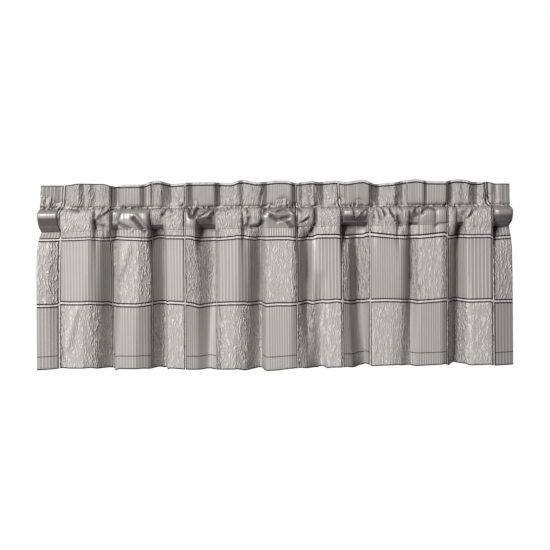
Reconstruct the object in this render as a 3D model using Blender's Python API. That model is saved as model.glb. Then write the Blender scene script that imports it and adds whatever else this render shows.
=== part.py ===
"""Window valance with a ruffled header and a rod pocket, hanging gathered on a straight rod.

The valance is cut as one plain length of cloth. Its top is turned over to the back and stitched
down along two lines. Between the lines is the pocket for the rod, and above them the doubled
cloth stands up as a ruffle. The sides and the bottom are turned up as narrow hems.

Two solids are built. The heading is the folded strip that holds the rod: it runs from the
pocket's lower stitch line up the front, over the top edge and down the back to the same line. The
skirt is the single cloth below that line. Each is worked out as the outer face of a sheet hung in
its folds, and is then given its thickness.

Metres. X runs along the rod, -Y faces the room, +Z is up, and the origin is on the rod's axis at
the middle of the valance. A place along the rod is measured from the left side edge.
"""

import math
from collections import namedtuple

import bmesh
import bpy
import numpy as np
from mathutils import Vector

# Finished sizes
HUNG_WIDTH = 1.176
DROP = 0.452
HEADER_HEIGHT = 0.057
POCKET_HEIGHT = 0.052
HEM_HEIGHT = 0.032
SIDE_HEM = 0.025

# Cloth
CLOTH_THICKNESS = 0.0015
HEM_THICKNESS = 2 * CLOTH_THICKNESS
LAYER_GAP = 0.0006
SEAM_GAP = 0.0004
BEND = 0.006

# Heights of the stitch lines and edges, from the rod's axis
HEADER_STITCH = POCKET_HEIGHT / 2
POCKET_STITCH = -POCKET_HEIGHT / 2
TOP_EDGE = HEADER_STITCH + HEADER_HEIGHT
HEM_EDGE = TOP_EDGE - DROP
HEM_STITCH = HEM_EDGE + HEM_HEIGHT

# How far the pocket's walls stand from the rod's axis, and how much the folds add in front
ROD_ROOM = 0.024
FRONT_SWELL = 0.009
BACK_SWELL = 0.006
POCKET_ROUNDNESS = 3.0

# The skirt's folds, from left to right, at middle height and at the hem. Each fold's valley runs
# from its foot to its valley at the depth of its floor. The cloth then rises to its shoulder, runs
# across its face to its brow at the depth of its crest, and falls back to the next foot. Depths
# are distances in front of the rod's axis.
Fold = namedtuple("Fold", "foot valley shoulder brow floor crest")
MIDDLE_FOLDS = (
    Fold(foot=0.046, valley=0.052, shoulder=0.066, brow=0.128, floor=0.016, crest=0.034),
    Fold(foot=0.166, valley=0.179, shoulder=0.203, brow=0.250, floor=-0.029, crest=0.034),
    Fold(foot=0.282, valley=0.308, shoulder=0.318, brow=0.362, floor=-0.031, crest=0.033),
    Fold(foot=0.395, valley=0.433, shoulder=0.449, brow=0.498, floor=-0.019, crest=0.034),
    Fold(foot=0.533, valley=0.549, shoulder=0.562, brow=0.630, floor=-0.027, crest=0.038),
    Fold(foot=0.656, valley=0.666, shoulder=0.678, brow=0.750, floor=-0.022, crest=0.032),
    Fold(foot=0.780, valley=0.790, shoulder=0.820, brow=0.899, floor=-0.030, crest=0.031),
    Fold(foot=0.916, valley=0.925, shoulder=0.940, brow=0.999, floor=-0.008, crest=0.031),
    Fold(foot=1.026, valley=1.044, shoulder=1.058, brow=1.118, floor=-0.034, crest=0.030),
)
HEM_FOLDS = (
    Fold(foot=0.050, valley=0.056, shoulder=0.076, brow=0.112, floor=0.026, crest=0.036),
    Fold(foot=0.142, valley=0.178, shoulder=0.190, brow=0.242, floor=-0.028, crest=0.036),
    Fold(foot=0.270, valley=0.309, shoulder=0.319, brow=0.366, floor=-0.030, crest=0.034),
    Fold(foot=0.402, valley=0.420, shoulder=0.438, brow=0.484, floor=0.014, crest=0.034),
    Fold(foot=0.507, valley=0.549, shoulder=0.561, brow=0.624, floor=-0.018, crest=0.042),
    Fold(foot=0.662, valley=0.702, shoulder=0.714, brow=0.748, floor=-0.024, crest=0.032),
    Fold(foot=0.767, valley=0.812, shoulder=0.824, brow=0.876, floor=-0.030, crest=0.026),
    Fold(foot=0.900, valley=0.918, shoulder=0.934, brow=0.998, floor=0.002, crest=0.024),
    Fold(foot=1.018, valley=1.040, shoulder=1.067, brow=1.116, floor=-0.038, crest=0.032),
)
MIDDLE_BELOW = 0.110
LEFT_EDGE_OUT = 0.024
RIGHT_EDGE_OUT = 0.016
SHOULDER_DROP = 0.005

# The header's ruffles. Each one has its valley at a place along the rod, and the ruffle to the
# right of the valley swells forward by crest.
Ruffle = namedtuple("Ruffle", "valley floor crest")
RUFFLES = (
    Ruffle(valley=0.040, floor=0.000, crest=0.012),
    Ruffle(valley=0.120, floor=0.004, crest=0.013),
    Ruffle(valley=0.186, floor=-0.013, crest=0.006),
    Ruffle(valley=0.255, floor=-0.003, crest=0.019),
    Ruffle(valley=0.322, floor=-0.005, crest=0.010),
    Ruffle(valley=0.379, floor=-0.006, crest=0.011),
    Ruffle(valley=0.447, floor=-0.005, crest=0.010),
    Ruffle(valley=0.500, floor=-0.002, crest=0.018),
    Ruffle(valley=0.563, floor=-0.004, crest=0.017),
    Ruffle(valley=0.633, floor=-0.006, crest=0.014),
    Ruffle(valley=0.697, floor=-0.001, crest=0.011),
    Ruffle(valley=0.762, floor=0.004, crest=0.018),
    Ruffle(valley=0.828, floor=-0.014, crest=0.009),
    Ruffle(valley=0.898, floor=-0.004, crest=0.019),
    Ruffle(valley=0.958, floor=0.002, crest=0.012),
    Ruffle(valley=1.018, floor=-0.006, crest=0.019),
    Ruffle(valley=1.077, floor=-0.003, crest=0.010),
    Ruffle(valley=1.120, floor=-0.004, crest=0.009),
)
HEADER_RISE = 0.30
HEADER_RISE_MIDDLE = 0.004

# How far the header leans sideways at places along the rod, against the skirt below it
Lean = namedtuple("Lean", "place across")
LEANS = (
    Lean(place=0.000, across=0.010),
    Lean(place=0.056, across=0.014),
    Lean(place=0.183, across=0.003),
    Lean(place=0.365, across=0.000),
    Lean(place=0.642, across=0.000),
    Lean(place=0.755, across=-0.008),
    Lean(place=0.923, across=-0.005),
    Lean(place=1.127, across=-0.012),
    Lean(place=1.176, across=-0.003),
)

# Share of the skirt's fold depth at heights from the pocket's stitch line down to the hem
Fullness = namedtuple("Fullness", "below share")
SKIRT_FULLNESS = (
    Fullness(below=0.000, share=0.62),
    Fullness(below=0.014, share=0.72),
    Fullness(below=0.045, share=0.90),
    Fullness(below=0.110, share=1.00),
    Fullness(below=0.343, share=1.00),
)
STITCH_FORWARD = 0.006
HEADER_STITCH_SHARE = 0.30

# Grid
COLUMNS = 150
TURN_WEIGHT = 0.012
HEADER_ROWS = 3
POCKET_ROWS = 6
SKIRT_HEIGHTS_BELOW_STITCH = (0.010, 0.028, 0.060, 0.120, 0.200)
HEM_STEP = 0.002
LATTICE_STEP = 0.001

LATTICE = np.arange(0, HUNG_WIDTH + LATTICE_STEP / 2, LATTICE_STEP)


def rounded_run(places, outs, bend=BEND):
    """Straight runs of cloth between the knots, with each corner rounded as cloth bends."""
    reach = int(4 * bend / LATTICE_STEP)
    offsets = np.arange(-reach, reach + 1) * LATTICE_STEP
    kernel = np.exp(-0.5 * (offsets / bend) ** 2)
    kernel /= kernel.sum()
    straight = np.interp(LATTICE, places, outs)
    padded = np.pad(straight, reach, mode="edge")
    return np.convolve(padded, kernel, mode="valid")


def skirt_run(folds):
    """How far the skirt stands forward at each place of the lattice, at its full fold depth."""
    places, outs = [0.0], [LEFT_EDGE_OUT]
    for fold in folds:
        places += [fold.foot, fold.valley, fold.shoulder, fold.brow]
        outs += [fold.floor, fold.floor, fold.crest - SHOULDER_DROP, fold.crest]
    return rounded_run(places + [HUNG_WIDTH], outs + [RIGHT_EDGE_OUT])


def header_run():
    """How far the header's top edge stands forward at each place of the lattice."""
    places, outs = [0.0], [RUFFLES[0].crest]
    for ruffle, following in zip(RUFFLES, RUFFLES[1:] + (None,)):
        end = following.valley if following else HUNG_WIDTH
        places += [ruffle.valley, (ruffle.valley + end) / 2]
        outs += [ruffle.floor, ruffle.crest]
    return rounded_run(places + [HUNG_WIDTH], outs + [0.0])


MIDDLE_RUN = skirt_run(MIDDLE_FOLDS)
HEM_RUN = skirt_run(HEM_FOLDS)
HEADER_RUN = header_run()


def read(run, place):
    """The value of a run of the lattice at a place along the rod."""
    return float(np.interp(place, LATTICE, run))


def from_table(rows, at):
    """Reads the second column of a table at a value of its first."""
    return float(np.interp(at, [row[0] for row in rows], [row[1] for row in rows]))


def fold_height(place):
    """The skirt's fold at a place, from 0 in the deepest valley to 1 on the highest crest."""
    low, high = MIDDLE_RUN.min(), MIDDLE_RUN.max()
    return (read(MIDDLE_RUN, place) - low) / (high - low)


def stitch_out(place, share):
    """How far a stitch line stands forward: a share of the skirt's folds, brought forward a little."""
    return STITCH_FORWARD + share * read(MIDDLE_RUN, place)


def header_point(place, up):
    """A point of the header's front, from 0 at its stitch line to 1 at its top edge."""
    foot = stitch_out(place, HEADER_STITCH_SHARE)
    ruffle = read(HEADER_RUN, place)
    out = foot + (ruffle - foot) * up
    rise = HEADER_RISE * (ruffle - HEADER_RISE_MIDDLE) * up
    across = from_table(LEANS, place) * up
    return place + across, out, HEADER_STITCH + HEADER_HEIGHT * up + rise


def pocket_point(place, turn, side):
    """A point of the pocket's front or back wall, from a turn of -90 at its lower stitch to 90."""
    height = POCKET_HEIGHT / 2 * math.sin(math.radians(turn))
    swell = 1 - abs(height / POCKET_STITCH) ** POCKET_ROUNDNESS
    upward = (height - POCKET_STITCH) / POCKET_HEIGHT
    lower = stitch_out(place, SKIRT_FULLNESS[0].share)
    upper = stitch_out(place, HEADER_STITCH_SHARE)
    flat = lower + (upper - lower) * upward
    if side == "front":
        wall = ROD_ROOM + FRONT_SWELL * fold_height(place)
    else:
        wall = -ROD_ROOM - BACK_SWELL * (1 - fold_height(place))
    return place, flat + (wall - flat) * swell, height


def skirt_point(place, below):
    """A point of the skirt, at a distance below the pocket's stitch line."""
    toward_hem = (below - MIDDLE_BELOW) / (POCKET_STITCH - HEM_EDGE - MIDDLE_BELOW)
    toward_hem = min(max(toward_hem, 0), 1)
    full = read(MIDDLE_RUN, place) * (1 - toward_hem) + read(HEM_RUN, place) * toward_hem
    forward = STITCH_FORWARD * (1 - min(below / MIDDLE_BELOW, 1))
    return place, forward + from_table(SKIRT_FULLNESS, below) * full, POCKET_STITCH - below


def even_columns(count):
    """Places along the rod, closer together where the skirt bends."""
    weights = 0
    for run in (MIDDLE_RUN, HEM_RUN):
        turning = np.abs(np.diff(np.arctan(np.gradient(run, LATTICE_STEP))))
        weights = weights + np.hypot(np.diff(LATTICE), np.diff(run)) + TURN_WEIGHT * turning
    along = np.concatenate([[0.0], np.cumsum(weights)])
    return np.interp(np.linspace(0, along[-1], count + 1), along, LATTICE)


def heading_rows(side):
    """The rows of the heading's front or back, from the top edge down to the lower stitch."""
    ups = [1 - row / HEADER_ROWS for row in range(HEADER_ROWS)]
    turns = [90 - 180 * row / POCKET_ROWS for row in range(POCKET_ROWS + 1)]
    rows = [lambda place, up=up: header_point(place, up) for up in ups]
    rows += [lambda place, turn=turn: pocket_point(place, turn, side) for turn in turns]
    return rows


def skirt_rows():
    """The rows of the skirt, with a close pair where the hem begins."""
    stitch_to_hem = POCKET_STITCH - HEM_STITCH
    drops = [SEAM_GAP] + list(SKIRT_HEIGHTS_BELOW_STITCH)
    drops += [stitch_to_hem - HEM_STEP, stitch_to_hem, POCKET_STITCH - HEM_EDGE]
    return [lambda place, drop=drop: skirt_point(place, drop) for drop in drops]


def unit(vectors):
    """The vectors of a grid, each scaled to a length of 1."""
    return vectors / np.linalg.norm(vectors, axis=-1, keepdims=True)


def mean_tangent(points, axis):
    """At each point of a grid, the mean direction of the cloth before it and after it."""
    steps = unit(np.diff(points, axis=axis))
    first = np.take(steps, [0], axis=axis)
    last = np.take(steps, [-1], axis=axis)
    before = np.concatenate([first, steps], axis=axis)
    after = np.concatenate([steps, last], axis=axis)
    half_turn_cosine = np.linalg.norm(before + after, axis=-1, keepdims=True) / 2
    return unit(before + after), np.maximum(half_turn_cosine, 0.6)


def back_face(points, thickness):
    """The back of a sheet whose front is given, evenly thick also where the sheet bends."""
    down, down_cosine = mean_tangent(points, axis=0)
    across, across_cosine = mean_tangent(points, axis=1)
    forward = unit(np.cross(down, across))
    return points - forward * thickness[..., None] / (down_cosine * across_cosine)


def hang_sheet(columns, rows):
    """The front face of a sheet: for each row and column, where its point hangs in space."""
    hung = np.array([[row(place) for place in columns] for row in rows])
    return np.stack([hung[..., 0] - HUNG_WIDTH / 2, -hung[..., 1], hung[..., 2]], axis=-1)


def cloth_body(name, front, back):
    """A flat grid, extruded to a slab and then shaped: its top is the front, its foot the back."""
    rows, columns = front.shape[:2]
    bm = bmesh.new()
    bmesh.ops.create_grid(bm, x_segments=columns - 1, y_segments=rows - 1, size=1)
    slab = bmesh.ops.extrude_face_region(bm, geom=bm.faces[:])
    for item in slab["geom"]:
        if isinstance(item, bmesh.types.BMVert):
            item.co.z = 1
    for vertex in bm.verts:
        column = round((vertex.co.x + 1) / 2 * (columns - 1))
        row = round((1 - vertex.co.y) / 2 * (rows - 1))
        face = front if vertex.co.z > 0.5 else back
        vertex.co = Vector(face[row, column])
    bmesh.ops.recalc_face_normals(bm, faces=bm.faces)
    mesh = bpy.data.meshes.new(name)
    bm.to_mesh(mesh)
    bm.free()
    cloth = bpy.data.objects.new(name, mesh)
    bpy.context.scene.collection.objects.link(cloth)
    return cloth


def satin(name, colour, roughness):
    """The cloth's finish: a pewter satin."""
    material = bpy.data.materials.new(name)
    material.use_nodes = True
    shader = material.node_tree.nodes["Principled BSDF"]
    shader.inputs["Base Color"].default_value = (*colour, 1)
    shader.inputs["Roughness"].default_value = roughness
    shader.inputs["Metallic"].default_value = 0.0
    return material


def skirt_thickness(columns, sheet):
    """The skirt's thickness, doubled in the bottom hem and in the side hems."""
    in_side_hem = (columns < SIDE_HEM) | (columns > HUNG_WIDTH - SIDE_HEM)
    in_hem = sheet[..., 2] < HEM_STITCH + HEM_STEP / 2
    return np.where(in_side_hem[None, :] | in_hem, HEM_THICKNESS, CLOTH_THICKNESS)


def behind(sheet, distance):
    """A sheet moved to the back by a distance that is measured square to its folds."""
    across, across_cosine = mean_tangent(sheet, axis=1)
    backward = unit(np.stack([-across[..., 1], across[..., 0], 0 * across[..., 0]], axis=-1))
    return sheet + backward * distance / across_cosine


def build():
    for old in list(bpy.data.objects):
        bpy.data.objects.remove(old)

    columns = even_columns(COLUMNS)

    # The heading's outer face runs up the back and, over the top edge, down the front
    front = hang_sheet(columns, heading_rows("front"))
    back = behind(hang_sheet(columns, heading_rows("back")), 2 * CLOTH_THICKNESS + LAYER_GAP)
    outer = np.concatenate([back[::-1], front])
    heading_thickness = np.full(outer.shape[:2], CLOTH_THICKNESS)
    heading = cloth_body("rod_pocket_heading", outer, back_face(outer, heading_thickness))
    heading.data.materials.append(satin("pewter_satin_heading", (0.45, 0.43, 0.41), 0.40))

    sheet = hang_sheet(columns, skirt_rows())
    skirt = cloth_body("skirt_cloth", sheet, back_face(sheet, skirt_thickness(columns, sheet)))
    skirt.data.materials.append(satin("pewter_satin_skirt", (0.47, 0.45, 0.43), 0.42))

    for cloth in (heading, skirt):
        cloth.data.shade_smooth()


build()
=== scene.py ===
"""Window valance: a gathered length of pewter check cloth with a ruffled header and a rod pocket.

Metres, in the frame of the CAD model: X runs along the rod, -Y faces the room, +Z is up, and the
origin is on the rod's axis at the middle. A place along the rod is measured from the left edge.
"""

import math
from collections import namedtuple

import bpy
import numpy as np
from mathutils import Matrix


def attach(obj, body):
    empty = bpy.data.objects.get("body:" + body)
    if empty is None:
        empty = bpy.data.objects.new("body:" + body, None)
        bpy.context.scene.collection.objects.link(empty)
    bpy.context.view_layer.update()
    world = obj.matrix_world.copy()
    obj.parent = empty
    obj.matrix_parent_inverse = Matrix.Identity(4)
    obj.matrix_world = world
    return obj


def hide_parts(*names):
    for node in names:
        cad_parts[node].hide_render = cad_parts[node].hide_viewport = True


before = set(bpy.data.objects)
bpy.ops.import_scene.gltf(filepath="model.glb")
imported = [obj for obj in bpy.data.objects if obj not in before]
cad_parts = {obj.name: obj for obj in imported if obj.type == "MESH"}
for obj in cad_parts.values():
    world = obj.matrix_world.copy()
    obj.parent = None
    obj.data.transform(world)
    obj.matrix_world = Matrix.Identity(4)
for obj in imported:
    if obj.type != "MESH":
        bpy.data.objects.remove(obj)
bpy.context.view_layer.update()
bpy.ops.object.select_all(action="DESELECT")


# ---- Skirt ---------------------------------------------------------------------------------
# The skirt is the part of the cloth that hangs below the rod pocket. It is one thickness of
# woven satin in loose folds, with its sides turned back and its bottom turned up as hems.

HUNG_WIDTH = 1.176
SIDE_HEM = 0.025
HEM_HEIGHT = 0.032
POCKET_STITCH = -0.026
HEM_EDGE = -0.369
BEND = 0.0030
LATTICE_STEP = 0.001
LATTICE = np.arange(0, HUNG_WIDTH + LATTICE_STEP / 2, LATTICE_STEP)

# The folds, left to right, at middle height and at the hem. A fold's valley runs from its foot to
# its valley at the depth of its floor, then the cloth rises to its shoulder and crosses its face
# to its brow at the depth of its crest. Depths are distances in front of the rod's axis.
Fold = namedtuple("Fold", "foot valley shoulder brow floor crest")
MIDDLE_FOLDS = (
    Fold(foot=0.046, valley=0.052, shoulder=0.066, brow=0.128, floor=0.016, crest=0.034),
    Fold(foot=0.166, valley=0.179, shoulder=0.203, brow=0.250, floor=-0.029, crest=0.034),
    Fold(foot=0.282, valley=0.308, shoulder=0.318, brow=0.362, floor=-0.031, crest=0.033),
    Fold(foot=0.395, valley=0.433, shoulder=0.449, brow=0.498, floor=-0.019, crest=0.034),
    Fold(foot=0.533, valley=0.549, shoulder=0.562, brow=0.630, floor=-0.027, crest=0.038),
    Fold(foot=0.656, valley=0.666, shoulder=0.678, brow=0.750, floor=-0.022, crest=0.032),
    Fold(foot=0.780, valley=0.790, shoulder=0.820, brow=0.899, floor=-0.030, crest=0.031),
    Fold(foot=0.916, valley=0.925, shoulder=0.940, brow=0.999, floor=-0.008, crest=0.031),
    Fold(foot=1.026, valley=1.044, shoulder=1.058, brow=1.118, floor=-0.034, crest=0.030),
)
HEM_FOLDS = (
    Fold(foot=0.050, valley=0.056, shoulder=0.076, brow=0.112, floor=0.021, crest=0.036),
    Fold(foot=0.142, valley=0.178, shoulder=0.190, brow=0.242, floor=-0.028, crest=0.036),
    Fold(foot=0.270, valley=0.309, shoulder=0.319, brow=0.366, floor=-0.030, crest=0.034),
    Fold(foot=0.402, valley=0.420, shoulder=0.438, brow=0.484, floor=0.014, crest=0.034),
    Fold(foot=0.507, valley=0.549, shoulder=0.561, brow=0.624, floor=-0.018, crest=0.042),
    Fold(foot=0.662, valley=0.702, shoulder=0.714, brow=0.748, floor=-0.024, crest=0.032),
    Fold(foot=0.767, valley=0.812, shoulder=0.824, brow=0.876, floor=-0.030, crest=0.026),
    Fold(foot=0.900, valley=0.918, shoulder=0.934, brow=0.998, floor=0.002, crest=0.024),
    Fold(foot=1.018, valley=1.040, shoulder=1.067, brow=1.116, floor=-0.038, crest=0.032),
)
# Middle height is this far below the pocket, and the side edges stand this far forward
MIDDLE_BELOW = 0.110
LEFT_EDGE_OUT = 0.036
RIGHT_EDGE_OUT = 0.016
SHOULDER_DROP = 0.005

# Past its brow the cloth turns away gently at first, then falls steeply into the next valley
TURN_ALONG = 0.58
TURN_DROP = 0.22
FOOT_ALONG = 0.70
FOOT_RISE = 0.16
VALLEY_SHIFT = 0.002

# Share of the full fold at distances below the pocket's stitch line, where the puffs end
Fullness = namedtuple("Fullness", "below share")
SKIRT_FULLNESS = (
    Fullness(below=0.000, share=0.00),
    Fullness(below=0.005, share=0.08),
    Fullness(below=0.024, share=0.50),
    Fullness(below=0.050, share=0.85),
    Fullness(below=0.110, share=1.00),
    Fullness(below=0.343, share=1.00),
)

# The puffs between the gathers of the rod pocket, from left to right. How far each stands in
# front of the rod's axis at the header's stitches, at its shoulder, belly and low side, and at
# the lower stitches, where the skirt begins.
Puff = namedtuple("Puff", "left right stitch shoulder belly low seam")
PUFFS = (
    Puff(0.000, 0.053, 0.010, 0.029, 0.029, 0.0172, -0.008),
    Puff(0.057, 0.140, 0.012, 0.030, 0.033, 0.034, 0.033),
    Puff(0.142, 0.164, 0.010, 0.022, 0.020, 0.019, 0.018),
    Puff(0.166, 0.182, 0.012, 0.027, 0.027, 0.025, 0.022),
    Puff(0.184, 0.197, 0.004, 0.018, 0.018, 0.017, -0.004),
    Puff(0.199, 0.277, 0.012, 0.030, 0.034, 0.034, 0.032),
    Puff(0.280, 0.308, 0.014, 0.028, 0.026, 0.017, -0.014),
    Puff(0.311, 0.362, 0.014, 0.029, 0.033, 0.034, 0.032),
    Puff(0.366, 0.394, 0.012, 0.028, 0.031, 0.032, 0.030),
    Puff(0.396, 0.433, 0.010, 0.031, 0.032, 0.0172, -0.014),
    Puff(0.440, 0.506, 0.013, 0.030, 0.034, 0.034, 0.032),
    Puff(0.508, 0.527, 0.010, 0.027, 0.026, 0.023, 0.016),
    Puff(0.529, 0.552, 0.016, 0.028, 0.030, 0.028, 0.016),
    Puff(0.557, 0.638, 0.010, 0.031, 0.036, 0.034, 0.033),
    Puff(0.643, 0.686, 0.012, 0.028, 0.029, 0.027, 0.018),
    Puff(0.689, 0.750, 0.013, 0.030, 0.033, 0.034, 0.032),
    Puff(0.757, 0.815, 0.010, 0.031, 0.032, 0.0172, -0.012),
    Puff(0.817, 0.832, 0.012, 0.028, 0.029, 0.028, 0.024),
    Puff(0.834, 0.888, 0.012, 0.028, 0.032, 0.033, 0.031),
    Puff(0.889, 0.919, 0.012, 0.030, 0.030, 0.027, 0.020),
    Puff(0.924, 0.940, 0.010, 0.025, 0.020, 0.018, 0.008),
    Puff(0.944, 0.983, 0.012, 0.031, 0.034, 0.032, 0.028),
    Puff(0.985, 1.014, 0.012, 0.029, 0.031, 0.030, 0.027),
    Puff(1.018, 1.036, 0.012, 0.028, 0.029, 0.029, 0.024),
    Puff(1.038, 1.056, 0.010, 0.022, 0.019, 0.017, -0.008),
    Puff(1.058, 1.127, 0.013, 0.029, 0.033, 0.034, 0.032),
    Puff(1.132, 1.176, 0.008, 0.028, 0.028, 0.0172, -0.008),
)

# How a puff rounds off at its ends, and how deep and wide the gathers between the puffs are
PUFF_CROWN = 0.0025
PUFF_ROUND = 0.010
PUFF_BEND = 0.0020
GAP_DEPTH = 0.012
GAP_FLOOR = 0.0150
GAP_HALF = 0.0004
SEAM_GAP = 0.002

# How much higher the lower stitches run than a level line, at places along the rod
STITCH_LEVELS = (
    (0.000, -0.0075), (0.055, -0.0065), (0.200, -0.0020), (0.420, -0.0015), (0.600, 0.0010),
    (0.790, 0.0045), (1.010, 0.0055), (1.060, 0.0000), (1.150, -0.0030), (1.176, 0.0000),
)
LEVEL_REACH = 0.024

# How much lower the cloth hangs at places along the rod: the first line across it, the second line
# and the hem's edge. The cloth slips between folds, so these change from one fold to the next.
Slip = namedtuple("Slip", "place first second hem")
SLIPS = (
    Slip(0.000, 0.0015, 0.0015, 0.0011),
    Slip(0.046, 0.0015, 0.0020, 0.0001),
    Slip(0.056, -0.0010, -0.0040, -0.0008),
    Slip(0.105, -0.0015, -0.0042, -0.0018),
    Slip(0.130, -0.0035, -0.0050, -0.0018),
    Slip(0.150, 0.0000, -0.0020, 0.0030),
    Slip(0.166, 0.0012, 0.0010, 0.0063),
    Slip(0.178, 0.0010, 0.0070, 0.0096),
    Slip(0.200, -0.0025, 0.0018, 0.0006),
    Slip(0.245, -0.0005, 0.0020, 0.0006),
    Slip(0.262, 0.0008, 0.0010, 0.0011),
    Slip(0.277, 0.0015, 0.0000, 0.0035),
    Slip(0.293, -0.0042, 0.0000, 0.0047),
    Slip(0.306, -0.0033, 0.0025, 0.0096),
    Slip(0.326, -0.0042, -0.0040, 0.0006),
    Slip(0.360, -0.0035, -0.0022, 0.0025),
    Slip(0.378, -0.0030, 0.0005, 0.0035),
    Slip(0.400, 0.0036, 0.0068, 0.0049),
    Slip(0.431, 0.0038, 0.0057, 0.0038),
    Slip(0.449, 0.0012, 0.0003, 0.0044),
    Slip(0.479, -0.0008, -0.0012, 0.0039),
    Slip(0.493, -0.0030, -0.0010, 0.0038),
    Slip(0.508, -0.0024, -0.0007, 0.0077),
    Slip(0.537, 0.0026, 0.0038, 0.0096),
    Slip(0.560, 0.0010, 0.0040, 0.0073),
    Slip(0.590, 0.0003, 0.0015, 0.0057),
    Slip(0.620, 0.0005, 0.0015, 0.0013),
    Slip(0.650, 0.0042, 0.0003, 0.0009),
    Slip(0.679, 0.0018, 0.0010, 0.0068),
    Slip(0.693, -0.0030, -0.0012, 0.0098),
    Slip(0.722, -0.0030, -0.0040, 0.0023),
    Slip(0.738, -0.0030, -0.0060, 0.0016),
    Slip(0.762, 0.0003, -0.0022, 0.0009),
    Slip(0.786, -0.0002, 0.0035, 0.0060),
    Slip(0.808, -0.0012, 0.0010, 0.0058),
    Slip(0.820, -0.0062, -0.0040, 0.0013),
    Slip(0.857, -0.0028, -0.0055, -0.0011),
    Slip(0.887, 0.0002, -0.0050, -0.0022),
    Slip(0.911, 0.0013, -0.0027, 0.0013),
    Slip(0.928, 0.0017, 0.0008, 0.0023),
    Slip(0.961, -0.0012, -0.0015, 0.0001),
    Slip(0.991, -0.0038, -0.0040, -0.0018),
    Slip(1.007, -0.0050, -0.0055, -0.0025),
    Slip(1.018, 0.0020, -0.0022, 0.0019),
    Slip(1.045, 0.0015, 0.0007, 0.0038),
    Slip(1.059, -0.0005, -0.0020, -0.0003),
    Slip(1.116, -0.0012, -0.0040, -0.0029),
    Slip(1.130, 0.0050, -0.0005, 0.0003),
    Slip(1.176, 0.0030, 0.0005, 0.0001),
)


def rounded_run(places, outs, bend=BEND):
    """Straight runs of cloth between the knots, with each corner rounded as cloth bends."""
    reach = int(4 * bend / LATTICE_STEP)
    offsets = np.arange(-reach, reach + 1) * LATTICE_STEP
    kernel = np.exp(-0.5 * (offsets / bend) ** 2)
    kernel /= kernel.sum()
    straight = np.interp(LATTICE, places, outs)
    padded = np.pad(straight, reach, mode="edge")
    return np.convolve(padded, kernel, mode="valid")


def skirt_run(folds):
    """How far the skirt stands forward at each place of the lattice, at its full fold depth."""
    places, outs = [0.0], [LEFT_EDGE_OUT]
    for fold in folds:
        brow, depth = places[-1], outs[-1] - fold.floor
        foot = fold.foot + FOOT_ALONG * (fold.valley - fold.foot)
        places += [brow + TURN_ALONG * (foot - brow), foot]
        outs += [outs[-1] - TURN_DROP * depth, fold.floor + FOOT_RISE * depth]
        places += [fold.valley + VALLEY_SHIFT, fold.shoulder, fold.brow]
        outs += [fold.floor, fold.crest - SHOULDER_DROP, fold.crest]
    return rounded_run(places + [HUNG_WIDTH], outs + [RIGHT_EDGE_OUT])


def puff_run(part):
    """How far one part of the pocket's puffs stands forward at each place of the lattice."""
    places, outs = [], []
    for puff in PUFFS:
        out = getattr(puff, part)
        inset = min(PUFF_ROUND, (puff.right - puff.left) / 3)
        if places:
            middle = (places[-1] + puff.left) / 2
            shallow = min(outs[-1], out)
            deepest = GAP_FLOOR if part != "seam" else shallow - SEAM_GAP
            gap = max(shallow - GAP_DEPTH, min(shallow, deepest))
            places += [middle - GAP_HALF, middle + GAP_HALF]
            outs += [gap, gap]
        places += [puff.left, puff.left + inset, puff.right - inset, puff.right]
        outs += [out - PUFF_CROWN, out, out, out - PUFF_CROWN]
    return rounded_run(places, outs, PUFF_BEND)


MIDDLE_RUN = skirt_run(MIDDLE_FOLDS)
HEM_RUN = skirt_run(HEM_FOLDS)
SEAM_RUN = puff_run("seam")


def read(run, place):
    """The value of a run of the lattice at places along the rod."""
    return np.interp(place, LATTICE, run)


def from_table(rows, at, column=1):
    """Reads a column of a table at values of its first."""
    return np.interp(at, [row[0] for row in rows], [row[column] for row in rows])


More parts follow.
